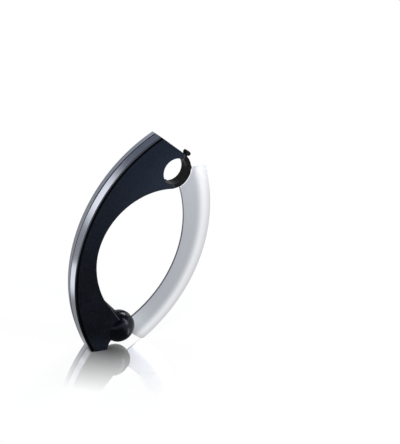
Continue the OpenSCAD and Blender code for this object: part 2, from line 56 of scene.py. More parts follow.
# %% Sizes that several pieces share
CHORD = 210.0  # from the hinge centre to the ring centre
LEAN = math.radians(13)  # of the chord, to the right
HUB_H = 24.9  # height of the hinge centre over the floor
HUB = Vector((0, -CHORD / 2))
RING = Vector((0, CHORD / 2))
SPINE_C = Vector((111.3, 3.5))  # centre of the arch
SPINE_R = 200.9  # outer face of the strips, at their outer edges
CROWN = 1.7  # rise of the strips towards the slit between them
STRIP_T = 1.2
FACE_Z = 11.75  # faces of the shells
GAP_Z = 1.5  # inner sides of the shells
RIDGE_Z = 0.8  # edges of the strips at the slit
STRIP_Z = 11.15  # outer edges of the strips
GRIP_C = Vector((20.3, 0))  # finger opening
GRIP_R = 85.8
EDGE_C = Vector((-109.9, 0))  # cutting edge
EDGE_R = 194.0
BEVEL_W = 10.0
BACK_C = Vector((-94.7, 0))  # back of the blade
BACK_R = 141.6
RECESS_R = 26.2  # hollow end of the blade, round the ring
BORE_R = 16.7  # bore of the ring
JAW_X = 3.9  # ends of the jaws that hold the ring
LIP = HUB + Vector((-7.3, 17.4))  # tip of the lip beside the ball
LIP_SLOPE = math.radians(31.5)
LIP_CUT_L, LIP_CUT_W, LIP_CUT_D = 22.0, 3.3, 4.0  # slope cut off the lip: length, width, depth


def polar(radius, angle):
    """The point at a distance and a direction from the origin."""
    return Vector((radius * math.cos(angle), radius * math.sin(angle)))


left = SPINE_C.x * math.cos(LEAN) + SPINE_C.y * math.sin(LEAN) - SPINE_R - CROWN
right = EDGE_C.x * math.cos(LEAN) + EDGE_R
STAND = (
    Matrix.Scale(0.001, 4)
    @ Matrix.Translation((-(left + right) / 2, 0, HUB_H + CHORD / 2 * math.cos(LEAN)))
    @ Matrix.Rotation(LEAN, 4, "Y")
    @ Matrix.Rotation(math.radians(90), 4, "X")
)
print("hinge centre stands at", [round(v, 4) for v in STAND @ HUB.to_3d()])
print("ring centre stands at", [round(v, 4) for v in STAND @ RING.to_3d()])

# %% [markdown]
# ## Drawing with one vertex
#
# A plane merged to a single vertex is the start of every outline. Extruding that vertex draws a
# straight line, and spinning it draws an arc. This is how a profile is traced by hand over a
# drawing, and each arc keeps its true centre. A closed outline is filled and raised to a plate, or
# spun round an axis to a turned piece.

# %% Helpers that draw lines and arcs
MERGE = 0.002  # points nearer to each other than this, in mm, are one


def start_at(name, place):
    """A new mesh of one vertex, left in edit mode."""
    bpy.ops.object.select_all(action="DESELECT")
    bpy.ops.mesh.primitive_plane_add(size=1, location=place)
    piece = bpy.context.object
    piece.name = name
    bpy.ops.object.transform_apply(location=True, rotation=True, scale=True)
    bpy.ops.object.mode_set(mode="EDIT")
    bpy.ops.mesh.select_mode(type="VERT")
    bpy.ops.mesh.select_all(action="SELECT")
    bpy.ops.mesh.merge(type="CENTER")
    return piece


def line(here, there):
    """Draws a straight line from the active vertex, and returns its end."""
    bpy.ops.mesh.extrude_region_move(TRANSFORM_OT_translate={"value": there - here})
    return there


def arc(here, centre, degrees, steps):
    """Draws an arc from the active vertex, counter-clockwise for positive degrees."""
    angle = math.radians(degrees)
    middle = (centre[0], centre[1], here.z)
    bpy.ops.mesh.spin(steps=steps, angle=-angle, center=middle, axis=(0, 0, 1))
    turn = Matrix.Rotation(angle, 2)
    there = Vector(centre[:2]) + turn @ (here.xy - Vector(centre[:2]))
    return there.to_3d() + Vector((0, 0, here.z))


def close_and_fill():
    """Joins the drawn ends and fills the outline."""
    bpy.ops.mesh.select_all(action="SELECT")
    bpy.ops.mesh.remove_doubles(threshold=MERGE)
    bpy.ops.mesh.select_all(action="SELECT")
    bpy.ops.mesh.edge_face_add()


def done():
    """Turns all faces outwards and leaves edit mode."""
    bpy.ops.mesh.select_all(action="SELECT")
    bpy.ops.mesh.normals_make_consistent(inside=False)
    bpy.ops.object.mode_set(mode="OBJECT")


def plate(name, moves, low, high):
    """A flat plate from an outline of lines (x, y) and arcs (centre, degrees, steps)."""
    here = Vector((*moves[0], low))
    first = here.copy()
    piece = start_at(name, here)
    for move in moves[1:]:
        if len(move) == 3:
            here = arc(here, *move)
        else:
            here = line(here, Vector((*move, low)))
    if (here - first).length > 0.001:
        line(here, first)
    close_and_fill()
    bpy.ops.mesh.extrude_region_move(TRANSFORM_OT_translate={"value": (0, 0, high - low)})
    done()
    return piece


def turned(name, centre, profile, start=0.0, sweep=360.0, steps=128):
    """A turned piece from points (radius, height), all round or over a sweep in degrees."""
    way = polar(1, math.radians(start))
    points = [Vector((centre[0] + r * way.x, centre[1] + r * way.y, z)) for r, z in profile]
    piece = start_at(name, points[0])
    here = points[0]
    for there in points[1:]:
        here = line(here, there)
    axis = (centre[0], centre[1], 0)
    if sweep < 360:
        line(here, points[0])
        close_and_fill()
    elif profile[0][0] > 0 or profile[-1][0] > 0:
        line(here, points[0])
    bpy.ops.mesh.select_all(action="SELECT")
    bpy.ops.mesh.spin(steps=steps, angle=-math.radians(sweep), center=axis, axis=(0, 0, 1))
    if sweep >= 360:
        bpy.ops.mesh.select_all(action="SELECT")
        bpy.ops.mesh.remove_doubles(threshold=MERGE)
    done()
    return piece


# %% [markdown]
# ## Cutting, breaking edges and standing up
#
# Saw cuts, seats and bores are Boolean modifiers with a drawn tool, applied at once. A moulded or
# ground edge is never perfectly sharp, so a small Bevel follows, and weighted normals keep the flat
# faces flat in the light. A mirrored copy has its normals turned outwards again.

# %% Helpers that cut, mirror and place
def pick(piece):
    """Selects one piece alone and makes it active."""
    bpy.ops.object.select_all(action="DESELECT")
    piece.select_set(True)
    bpy.context.view_layer.objects.active = piece


def cut(piece, tool, how="DIFFERENCE"):
    """Applies a Boolean of the piece with a tool, and removes the tool."""
    pick(piece)
    change = piece.modifiers.new("cut", "BOOLEAN")
    change.operation = how
    change.solver = "EXACT"
    change.object = tool
    bpy.ops.object.modifier_apply(modifier=change.name)
    bpy.data.objects.remove(tool)


def bisected(piece, place, normal):
    """Cuts a piece at a plane, closes it and keeps the side against the normal."""
    pick(piece)
    bpy.ops.object.mode_set(mode="EDIT")
    bpy.ops.mesh.select_all(action="SELECT")
    bpy.ops.mesh.bisect(plane_co=place, plane_no=normal, use_fill=True, clear_outer=True)
    done()


def flipped(piece, name):
    """A copy of a piece on the other side of the middle plane, with its own mesh."""
    copy = piece.copy()
    copy.data = piece.data.copy()
    copy.name = name
    bpy.context.scene.collection.objects.link(copy)
    copy.data.transform(Matrix.Scale(-1, 4, (0, 0, 1)))
    pick(copy)
    bpy.ops.object.mode_set(mode="EDIT")
    bpy.ops.mesh.select_all(action="SELECT")
    bpy.ops.mesh.remove_doubles(threshold=MERGE / 4)
    done()
    return copy


def finish(piece, body, nodes, look, bevel, angle, segments=2):
    """Bevels, smooths and stands a piece up, gives it its finish, ties it to its body and hides its
    solids.
    """
    pick(piece)
    edge = piece.modifiers.new("edge", "BEVEL")
    edge.width = bevel
    edge.segments = segments
    edge.limit_method = "ANGLE"
    edge.angle_limit = math.radians(angle)
    bpy.ops.object.modifier_apply(modifier=edge.name)
    bpy.ops.object.shade_smooth_by_angle(angle=math.radians(angle))
    even = piece.modifiers.new("even", "WEIGHTED_NORMAL")
    even.keep_sharp = True
    bpy.ops.object.modifier_apply(modifier=even.name)
    piece.data.transform(STAND)
    piece.data.materials.clear()
    piece.data.materials.append(look.material)
    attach(piece, body)
    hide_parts(*nodes)
    print(piece.name, "has", len(piece.data.polygons), "faces")


# %% [markdown]
# ## Shader arithmetic in plain Python
#
# A finish is a formula over the surface, so it reads best as one. The Value class wraps a socket,
# and its operators add Math nodes, so that `1 - mask * 0.3` builds the nodes it says.

# %% A socket that can be added and multiplied
class Value:
    """A number that varies over a surface, as the output of a node."""

    def __init__(self, owner, socket):
        self.owner = owner
        self.socket = socket

    def math(self, operation, *others):
        return self.owner.node("ShaderNodeMath", {"operation": operation}, [self, *others])

    def __add__(self, other):
        return self.math("ADD", other)

    def __radd__(self, other):
        return self.math("ADD", other)

    def __sub__(self, other):
        return self.math("SUBTRACT", other)

    def __rsub__(self, other):
        return self.owner.node("ShaderNodeMath", {"operation": "SUBTRACT"}, [other, self])

    def __mul__(self, other):
        return self.math("MULTIPLY", other)

    def __rmul__(self, other):
        return self.math("MULTIPLY", other)

    def __truediv__(self, other):
        return self.math("DIVIDE", other)

    def power(self, other):
        return self.math("POWER", other)

    def between(self, low, high):
        """0 at low, 1 at high and smooth between them. Low may be the larger of the two."""
        return self.owner.node(
            "ShaderNodeMapRange",
            {"interpolation_type": "SMOOTHSTEP"},
            {"Value": self, "From Min": low, "From Max": high},
        )


# %% A material that takes formulas
class Finish:
    """A material, with one method that adds any node."""

    def __init__(self, name, color, roughness, metallic=0.0, **constants):
        self.material = bpy.data.materials.new(name)
        self.material.use_nodes = True
        self.tree = self.material.node_tree
        self.surface = self.tree.nodes["Principled BSDF"]
        self.surface.inputs["Base Color"].default_value = (*color, 1)
        self.surface.inputs["Roughness"].default_value = roughness
        self.surface.inputs["Metallic"].default_value = metallic
        for socket, value in constants.items():
            self.surface.inputs[socket.replace("_", " ")].default_value = value
        print("finish", name)

    def put(self, socket, value):
        """Links a value to a socket, or sets a number on it."""
        if isinstance(value, Value):
            self.tree.links.new(value.socket, socket)
        else:
            socket.default_value = value

    def node(self, kind, settings=None, inputs=None, output=0):
        """Adds a node, sets its settings, then its sockets, and returns one output."""
        made = self.tree.nodes.new(kind)
        for key, value in (settings or {}).items():
            setattr(made, key, value)
        if isinstance(inputs, dict):
            for key, value in inputs.items():
                self.put(made.inputs[key], value)
        else:
            for number, value in enumerate(inputs or []):
                self.put(made.inputs[number], value)
        return Value(self, made.outputs[output])

    def drive(self, socket, value):
        """Links a value to a socket of the surface."""
        self.put(self.surface.inputs[socket], value)

    def place(self):
        """Object coordinates turned back to the lying drawing, in millimetres."""
        where = self.node("ShaderNodeTexCoord", output="Object")
        place, turn, size = STAND.inverted().decompose()
        return self.node(
            "ShaderNodeMapping",
            {"vector_type": "POINT"},
            {
                "Vector": where,
                "Location": place,
                "Rotation": turn.to_euler("XYZ"),
                "Scale": size,
            },
        )

    def parts_of(self, vector):
        """The x, y and z of a vector as values."""
        split = self.node("ShaderNodeSeparateXYZ", None, [vector])
        outputs = split.socket.node.outputs
        return [Value(self, outputs[i]) for i in range(3)]

    def joined(self, x, y, z):
        """A vector, or a grey, from three values."""
        return self.node("ShaderNodeCombineXYZ", None, [x, y, z])

    def noise(self, where, scale, detail, roughness):
        """Smooth noise from 0 to 1, with scale in bumps per millimetre."""
        return self.node(
            "ShaderNodeTexNoise",
            {"noise_dimensions": "3D"},
            {"Vector": where, "Scale": scale, "Detail": detail, "Roughness": roughness},
        )

    def color_between(self, factor, first, second):
        """A mix of two colours."""
        mix = self.tree.nodes.new("ShaderNodeMix")
        mix.data_type = "RGBA"
        self.put(mix.inputs[0], factor)
        for socket, color in ((mix.inputs[6], first), (mix.inputs[7], second)):
            self.put(socket, color if isinstance(color, Value) else (*color, 1))
        return Value(self, mix.outputs[2])

    def layered(self, tone, *layers):
        """Lays colours over a tone, each through a mask of its own."""
        for mask, color in layers:
            tone = self.color_between(mask, tone, color)
        return tone

    def relief(self, height, strength, distance):
        """Bumps the surface, with distance in millimetres."""
        bump = self.node(
            "ShaderNodeBump",
            None,
            {"Strength": strength, "Distance": distance * 0.001, "Height": height},
        )
        self.drive("Normal", bump)


# %% A distance that a mask can be made of
def distance_to(centre, x, y):
    """Distance of a surface from a centre of the lying drawing."""
    dx = x - centre.x
    dy = y - centre.y
    return (dx * dx + dy * dy).power(0.5)


# %% [markdown]
# ## Moulded black shells
#
# The handle's faces are glass-filled nylon: a blue-black with a spark-eroded grain too fine to
# count. A single flat colour would look painted, so fine noise makes the grain and slow noise makes
# the sheen and the tone uneven. The colour is laid on in layers, as glazes are. Painted light makes
# it bluer and lighter towards the top, lighter on the inner side of the upper half and lighter at
# the foot. A painted highlight runs along the opening's rim, over rubbed patches at random, and
# painted highlights run along the edges of the lip and of the jaws. Painted shade darkens the
# groove beside the strips and the foot of the lip's slope. Each layer has a mask from 0 to 1, made
# of distances in millimetres of the lying drawing.

# %% Masks on the shells
shell_black = Finish("shell_black", (0.01, 0.013, 0.02), 0.5, Specular_IOR_Level=0.035)
spot = shell_black.place()
x, y, _ = shell_black.parts_of(spot)
grain = shell_black.noise(spot, 3.2, 2.0, 0.6)
cloud = shell_black.noise(spot, 0.045, 3.0, 0.55)
rub = shell_black.noise(spot, 0.35, 4.0, 0.65).between(0.45, 0.8)
upper = y.between(-110, 130)
arch = distance_to(SPINE_C, x, y)
# painted light: lighter on the inner side of the arch, away from the strips
inner_painted_light = arch.between(192, 150)
# painted light: lighter at the foot
foot = y.between(-112, -130)
# painted highlight along the rim of the finger opening
rim = distance_to(GRIP_C, x, y).between(GRIP_R + 1.6, GRIP_R + 1.0)
# painted shade in the groove beside the strips
groove = arch.between(SPINE_R - 4.7, SPINE_R - 3.3)
# painted highlight along the ends of the jaws
jaw_highlight = x.between(JAW_X - 1.2, JAW_X - 0.8)
lip_start = LIP + Matrix.Rotation(-LIP_SLOPE, 2) @ Vector((-LIP_CUT_L, 0))
lip_angle = LIP_SLOPE + math.atan(LIP_CUT_W / LIP_CUT_L)
past_lip = (x - lip_start.x) * math.sin(lip_angle) + (y - lip_start.y) * math.cos(lip_angle)
near_lip = x.between(-27, -25) * y.between(-66, -70)  # the lip alone, not the shell beyond it
# painted highlight along the lip's edge
lip_highlight = past_lip.between(-1.1, -0.7) * near_lip
# painted shade at the foot of the lip's slope
lip_slope_shade = past_lip.between(-0.1, 0.1) * near_lip
print("the lip's slope starts at", lip_start)

# %% Finish of the shells
# painted light: bluer and lighter towards the top
painted_top_light_tone = shell_black.color_between(
    upper * upper, (0.0034, 0.0041, 0.0068), (0.0088, 0.0132, 0.0235)
)
tone = shell_black.layered(
    painted_top_light_tone,
    # painted light on the inner side of the upper half
    (inner_painted_light * upper * upper * 0.5, (0.024, 0.031, 0.05)),
    # painted light at the foot
    (foot * 0.6, (0.012, 0.0155, 0.024)),
    (cloud.between(0.3, 0.75) * 0.3, (0.009, 0.0125, 0.021)),
    # painted highlight on the opening's rim, and rubbed patches at random
    (rim * 0.5 + rub * 0.2, (0.04, 0.046, 0.058)),
    # painted highlights on the lip and the jaws
    (lip_highlight * 0.8 + jaw_highlight * 0.7, (0.062, 0.067, 0.088)),
    # painted shade in the groove and at the lip's slope
    (groove + lip_slope_shade, (0.0012, 0.0014, 0.002)),
)
shell_black.drive("Base Color", tone)
shell_black.drive("Roughness", 0.47 + cloud * 0.1 - rub * 0.07)
shell_black.relief(grain, 0.25, 0.06)

# %% [markdown]
# ## Brushed spine
#
# The strips are ground across their length, so each scratch runs from front to back over the arch.
# The noise is therefore read in bent coordinates: the angle round the arch's centre, stretched
# until a scratch is a few tenths of a millimetre wide and several millimetres long. The narrow
# sides of a strip carry painted shade, darker than its ground face, so that the slit between the
# strips and the groove beside them look dark.

# %% Finish of the spine strips
spine_steel = Finish("spine_steel", (0.42, 0.45, 0.49), 0.34, 1.0)
x, y, z = spine_steel.parts_of(spine_steel.place())
turn = (y - SPINE_C.y).math("ARCTAN2", SPINE_C.x - x) * SPINE_R
depth = z.math("ABSOLUTE")
scratch = spine_steel.noise(spine_steel.joined(turn * 4.0, z * 0.12, 0.0), 1.0, 4.0, 0.7)
patch = spine_steel.noise(spine_steel.joined(turn * 0.05, z * 0.02, 0.0), 1.0, 2.0, 0.5)
# painted shade on the narrow sides at the slit
slit_shade = depth.between(RIDGE_Z + 0.35, RIDGE_Z + 0.15)
# painted shade on the outer narrow sides, beside the groove
outer_side_shade = depth.between(STRIP_Z - 0.6, STRIP_Z - 0.35)
tone = spine_steel.layered(
    spine_steel.color_between(scratch, (0.53, 0.56, 0.65), (0.75, 0.78, 0.87)),
    (slit_shade, (0.24, 0.26, 0.31)),
    (outer_side_shade, (0.09, 0.1, 0.12)),
)
spine_steel.drive("Base Color", tone)
spine_steel.drive("Roughness", 0.13 + scratch * 0.09 + patch * 0.05)
spine_steel.relief(scratch, 0.5, 0.02)

# %% [markdown]
# ## Ground blade
#
# The blade's flat is satin, and its bevel is ground finer, so it is smoother. The grinding lines
# follow the edge. The bevel's line lies at a fixed distance from the edge, so the distance from the
# edge's own centre tells the two finishes apart. A painted highlight rises over the flat towards
# the bevel's line and falls again towards the edge, so the bevel's band is bright. A painted glint
# runs along the edge of the hollow end, and painted shade darkens the narrow back.

# %% Finish of the blade
blade_steel = Finish("blade_steel", (0.5, 0.52, 0.55), 0.32, 1.0)
x, y, z = blade_steel.parts_of(blade_steel.place())
reach = distance_to(EDGE_C, x, y)
along = (y - EDGE_C.y).math("ARCTAN2", x - EDGE_C.x) * EDGE_R
bevel_r = EDGE_R - BEVEL_W
# a painted highlight rises over the flat towards the bevel's line and falls towards the edge
bevel_polish_and_highlight = reach.between(bevel_r - 14, bevel_r)
highlight_fall = reach.between(bevel_r, EDGE_R + 4)
# painted glint along the edge of the hollow end
hollow_glint = distance_to(RING, x, y).between(RECESS_R + 1.4, RECESS_R + 0.9)
# painted shade on the narrow back of the blade
back = distance_to(BACK_C, x, y).between(BACK_R + 0.6, BACK_R + 0.2)
fine = blade_steel.noise(blade_steel.joined(along * 0.35, reach * 6.0, z), 1.0, 3.0, 0.65)
cloud = blade_steel.noise(blade_steel.joined(x * 0.03, y * 0.03, z), 1.0, 3.0, 0.5)
satin = blade_steel.color_between(fine, (0.42, 0.44, 0.48), (0.5, 0.52, 0.56))
# the bevel's tone: a finer grind and a painted highlight
polished = blade_steel.color_between(fine, (0.82, 0.84, 0.87), (0.89, 0.9, 0.92))
tone = blade_steel.layered(
    blade_steel.color_between(bevel_polish_and_highlight * bevel_polish_and_highlight, satin, polished),
    (highlight_fall, (0.58, 0.59, 0.615)),
    (hollow_glint, (0.78, 0.79, 0.81)),
    (back * 0.7, (0.1, 0.11, 0.13)),
)
blade_steel.drive("Base Color", tone)
blade_steel.drive("Roughness", 0.34 + cloud * 0.08 + fine * 0.06 - bevel_polish_and_highlight * 0.1)
blade_steel.relief(fine, 0.3, 0.012)

# %% [markdown]
# ## The other finishes
#
# The ring is a neutral black, duller than the shells, and darker on its faces and tab than in its
# bore. The ball is polished, so it mirrors the light around it. Small steel,
# spring steel, brass and nylon pieces show only in the gaps and from behind, and get turned or
# tumbled textures of their own. One function makes them all, because they differ only in numbers.

# %% Finishes that wander between two tones
def speckled(name, dark, light, low, high, metallic, scale, depth, **constants):
    """A finish between two colours and two roughnesses, with a fine relief."""
    made = Finish(name, dark, low, metallic, **constants)
    place = made.place()
    wander = made.noise(place, scale, 4.0, 0.6)
    dust = made.noise(place, scale * 9, 2.0, 0.6)
    made.tone = made.color_between(wander.between(0.3, 0.7), dark, light)
    made.drive("Base Color", made.tone)
    made.drive("Roughness", low + (high - low) * wander)
    made.relief(dust, 0.25, depth)
    return made


small_steel = speckled(
    "small_steel", (0.42, 0.43, 0.45), (0.6, 0.61, 0.63), 0.25, 0.42, 1, 1.2, 0.02
)
spring_steel = speckled(
    "spring_steel", (0.3, 0.31, 0.34), (0.45, 0.46, 0.5), 0.22, 0.36, 1, 0.9, 0.01
)
insert_brass = speckled(
    "insert_brass", (0.55, 0.39, 0.16), (0.78, 0.58, 0.28), 0.25, 0.45, 1, 1.0, 0.02
)
washer_nylon = speckled(
    "washer_nylon", (0.62, 0.6, 0.54), (0.74, 0.72, 0.66), 0.4, 0.55, 0, 0.8, 0.02
)

# %% Finishes of the ball and the ring
ball_black = speckled(
    "ball_black",
    (0.0006, 0.0009, 0.0018),
    (0.0016, 0.002, 0.0036),
    0.19,
    0.24,
    0,
    0.2,
    0.01,
    Specular_IOR_Level=0.3,
    Specular_Tint=(0.74, 0.84, 1.0, 1.0),
)
ring_black = speckled(
    "ring_black",
    (0.007, 0.007, 0.007),
    (0.014, 0.014, 0.0145),
    0.42,
    0.58,
    0,
    0.3,
    0.04,
    Specular_IOR_Level=0.12,
)
x, y, _ = ring_black.parts_of(ring_black.place())
past_bore = distance_to(RING, x, y).between(BORE_R + 0.1, BORE_R + 0.5)
tone = ring_black.color_between(past_bore, ring_black.tone, (0.0016, 0.0017, 0.002))
ring_black.drive("Base Color", tone)

# %% Finishes on the hidden solids
small_pieces = {
    "strip_studs": small_steel,
    "top_spacer": shell_black,
    "foot_spacer": shell_black,
    "hinge_plate": small_steel,
    "shell_screws": small_steel,
    "shell_inserts": insert_brass,
    "ring_drag_washer": spring_steel,
    "catch_pin": small_steel,
    "pivot_bush": small_steel,
    "pivot_screw": small_steel,
    "pivot_insert": insert_brass,
    "friction_washers": washer_nylon,
    "key_dowels": small_steel,
}
for node, look in small_pieces.items():
    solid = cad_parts[node]
    solid.data.materials.clear()
    solid.data.materials.append(look.material)
print(len(small_pieces), "solids keep their shape and get a finish")

# %% [markdown]
# ## The shells
#
# Each shell is a slice of a turned disc: the section under the strip, with its ledge and its shadow
# groove, is swept along the arch. One plate with the handle's silhouette trims it, and turned tools
# cut the finger opening, the ring's seat and the ball's cradle. A tool is drawn like a piece, a
# little longer than its cut, so that no two faces lie in one plane.

# %% The silhouette that trims shells and strips
def roof(height):
    """Radius of the strips' outer face at a height over the middle plane."""
    return SPINE_R + CROWN - CROWN * (height - GAP_Z) / (STRIP_Z - GAP_Z)


def floor_at(at_x):
    """The floor's y in the lying drawing."""
    return HUB.y + (at_x * math.sin(LEAN) - HUB_H) / math.cos(LEAN)


END_OVER = 24.2
END_SLOPE = math.radians(19)
JAW_ROUND = 3.4
JAW_TURN = 71  # degrees, from the jaw's side to the end cut
NECK_X = -12.0
PAST_ARCH = -110.0  # further out than the arch


def end_at(at_x):
    """The handle's end cut in the lying drawing."""
    return RING.y + END_OVER - at_x * math.tan(END_SLOPE)


jaw_c = Vector((JAW_X - JAW_ROUND, end_at(JAW_X - JAW_ROUND) - JAW_ROUND / math.cos(END_SLOPE)))


def silhouette():
    """A plate that holds what stays of a shell or a strip."""
    return plate(
        "trim",
        [
            (PAST_ARCH, floor_at(PAST_ARCH)),
            (NECK_X, floor_at(NECK_X)),
            (NECK_X, HUB.y - 18.9),
            (NECK_X + 1, HUB.y - 15.5),
            (LIP.x, HUB.y - 14.3),
            (LIP.x, LIP.y + 14),
            (JAW_X, RING.y - 29.5),
            (JAW_X, jaw_c.y),
            (jaw_c, JAW_TURN, 12),
            (PAST_ARCH, end_at(PAST_ARCH)),
        ],
        0,
        20,
    )


print("the jaws are rounded about", jaw_c)

# %% [markdown]
# The finger opening has a wide arc for the fingers and a flatter one, the heel, towards the hinge.
# Each is cut by a turned tool that flares at the face, so it leaves the rounded rim that the
# fingers feel. The heel's tool is bisected where the two arcs meet, and again along the lip beside
# the ball.

# %% The tools that cut the finger opening
RIM = 1.4
TOOL_IN, TOOL_LOW, TOOL_HIGH = 20, -1, 15  # a tool's inner radius, and its ends
HEEL_R = 110.0
HEEL_FROM = math.radians(200)
heel_c = GRIP_C + polar(GRIP_R - HEEL_R, HEEL_FROM)


def opening_tool(name, centre, radius, start, sweep):
    """A turned tool with a flare that rounds the rim, over a sweep in degrees."""
    rim = [
        (radius + RIM * (1 - math.cos(a)), FACE_Z - RIM * (1 - math.sin(a)))
        for a in (math.radians(d) for d in range(0, 91, 15))
    ]
    profile = [(TOOL_IN, TOOL_LOW), (radius, TOOL_LOW), *rim]
    profile += [(radius + RIM, TOOL_HIGH), (TOOL_IN, TOOL_HIGH)]
    return turned(name, centre, profile, start, sweep, int(sweep))


grip_tool = opening_tool("grip_tool", GRIP_C, GRIP_R, 80, 200)
heel_tool = opening_tool("heel_tool", heel_c, HEEL_R, 178, 80)
meet_y = GRIP_R * math.sin(HEEL_FROM)
bisected(heel_tool, (0, meet_y + 0.3, 0), (0, 1, 0))
bisected(heel_tool, (*LIP, 0), (-math.sin(LIP_SLOPE), -math.cos(LIP_SLOPE), 0))

# %% [markdown]
# The lip beside the ball slopes away to a thin edge. A plain box, tipped about the line where the
# slope starts, takes that wedge off.

# %% The tool that slopes the lip
bpy.ops.object.select_all(action="DESELECT")
bpy.ops.mesh.primitive_cube_add(size=1, location=(0.5, 0.5, 0.5))
lip_tool = bpy.context.object
lip_tool.name = "lip_tool"
bpy.ops.object.transform_apply(location=True, rotation=True, scale=True)
lip_tool.data.transform(Matrix.Diagonal((1.5 * LIP_CUT_L, 2 * LIP_CUT_D, 2 * LIP_CUT_D, 1)))
lip_tool.data.transform(
    Matrix.Translation((*LIP, FACE_Z))
    @ Matrix.Rotation(-LIP_SLOPE, 4, "Z")
    @ Matrix.Translation((-LIP_CUT_L, 0, 0))
    @ Matrix.Rotation(-math.atan(LIP_CUT_W / LIP_CUT_L), 4, "Z")
    @ Matrix.Rotation(-math.atan(LIP_CUT_D / LIP_CUT_W), 4, "X")
)

# %% [markdown]
# The shell's section is drawn from the inside out: under the strip, round the ledge that its edge
# rests on, through the shadow groove and up to the face. It is spun round the arch's centre.

# %% The front shell's moulding and its trims
ARCH_FROM, ARCH_SWEEP = 126, 110  # degrees about the arch's centre, a little past both ends
CORE_R = 100  # inside the finger opening
ledge = roof(STRIP_Z) - STRIP_T - 1.1
section = [
    (CORE_R, GAP_Z),
    (roof(GAP_Z) - STRIP_T, GAP_Z),
    (roof(STRIP_Z) - STRIP_T, STRIP_Z),
    (ledge, STRIP_Z),
    (ledge, STRIP_Z - 0.55),
    (ledge - 0.8, STRIP_Z - 0.55),
    (ledge - 1.4, FACE_Z - 0.3),
    (ledge - 1.7, FACE_Z),
    (CORE_R, FACE_Z),
]
front = turned("front_shell_moulded", SPINE_C, section, ARCH_FROM, ARCH_SWEEP, 220)
cut(front, silhouette(), "INTERSECT")
for tool in (grip_tool, heel_tool, lip_tool):
    cut(front, tool)
print("trimmed", front.name, "has", len(front.data.polygons), "faces")

# %% [markdown]
# The ring and the ball turn in the shell, so their seats are turned tools too, a few tenths of a
# millimetre larger than what turns in them.

# %% The seats of the ring and of the ball
RING_R = 22.5
RING_H = 6.7  # face of the ring, over the middle plane
COLLAR_R = 18.4
COLLAR_H = 1.2
BALL_R = 19.9
BALL_H = 16.3  # the ball's pole, over the middle plane
BALL_N = 2.5  # 2 is an ellipse, and more is fuller in the shoulders
seat_r, seat_h = RING_R + 0.4, RING_H + 0.2
collar_r, collar_h = COLLAR_R + 0.05, RING_H + COLLAR_H + 0.2
mouth_r = BORE_R + 0.2
seat = [(0, 0.5), (seat_r, 0.5), (seat_r, seat_h), (collar_r, seat_h)]
seat += [(collar_r, collar_h), (mouth_r, collar_h), (mouth_r, 20), (0, 20)]
cut(front, turned("ring_seat", RING, seat, steps=144))


def ball_curve(low, grow, count=22):
    """The ball's outline from a height to its pole."""
    first = math.asin((low / (BALL_H + grow)) ** (BALL_N / 2))
    angles = [first + (math.pi / 2 - first) * i / count for i in range(count + 1)]
    return [
        (
            (BALL_R + grow) * max(0.0, math.cos(a)) ** (2 / BALL_N),
            (BALL_H + grow) * math.sin(a) ** (2 / BALL_N),
        )
        for a in angles
    ]


BALL_GAP = 0.4
cradle = [(0, 0)] + ball_curve(0, BALL_GAP)[:-1] + [(0, BALL_H + BALL_GAP)]
cut(front, turned("ball_cradle", HUB, cradle, steps=144))
rear = flipped(front, "rear_shell_moulded")
finish(front, "handle", ["front_shell"], shell_black, 0.3, 38)

# %% [markdown]
# The rear shell is the front one mirrored, with five deep seats for the screws that hold the
# shells together.

# %% The rear shell and its screw seats
SCREW_SEAT_R = 2.95
SCREW_SEAT_D = 1.9
LOW_SCREWS = [(-40, 12), (-37, -9), (-28.5, -26)]
TOP_SCREWS = [(-36.5, 23), (-19, 24.5)]
screws = [HUB + Vector(p) for p in LOW_SCREWS] + [RING + Vector(p) for p in TOP_SCREWS]
deep = SCREW_SEAT_D - FACE_Z
seat = [(0, -14), (SCREW_SEAT_R, -14), (SCREW_SEAT_R, deep), (0, deep)]
for place in screws:
    cut(rear, turned("screw_seat", place, seat, steps=32))
finish(rear, "handle", ["rear_shell"], shell_black, 0.3, 38)

# %% [markdown]
# ## The spine strips
#
# Two bent steel strips make the roof-shaped spine. Each is a thin turned section, trimmed by the
# same silhouette as the shells, so that all three end flush.

# %% The two strips
WORN = 0.3  # width of the broken edges
section = [
    (roof(GAP_Z) - STRIP_T, RIDGE_Z),
    (roof(GAP_Z) - WORN, RIDGE_Z),
    (roof(GAP_Z), RIDGE_Z + WORN),
    (roof(GAP_Z), GAP_Z),
    (roof(STRIP_Z - WORN), STRIP_Z - WORN),
    (roof(STRIP_Z) - WORN, STRIP_Z),
    (roof(STRIP_Z) - STRIP_T, STRIP_Z),
    (roof(GAP_Z) - STRIP_T, GAP_Z),
]
strip = turned("front_spine_brushed", SPINE_C, section, ARCH_FROM, ARCH_SWEEP, 330)
cut(strip, silhouette(), "INTERSECT")
rear_strip = flipped(strip, "rear_spine_brushed")
finish(strip, "handle", ["front_spine_strip"], spine_steel, 0.1, 30)
finish(rear_strip, "handle", ["rear_spine_strip"], spine_steel, 0.1, 30)

# %% [markdown]
# ## The blade
#
# The crescent is a turned band with the ground bevel in its section, trimmed by one plate. That
# plate follows the blade's back, the hollow round the ring, the hook behind the catch pin, the two
# rounded corners and the straight ends, each from its own centre.

# %% Where the blade's curves meet
def meeting(c1, r1, c2, r2, side):
    """A crossing point of two circles, to the left of the line between them for side 1."""
    way = (c2 - c1).normalized()
    gap = (c2 - c1).length
    ahead = (gap * gap + r1 * r1 - r2 * r2) / (2 * gap)
    aside = math.sqrt(r1 * r1 - ahead * ahead)
    return c1 + way * ahead + Vector((-way.y, way.x)) * aside * side


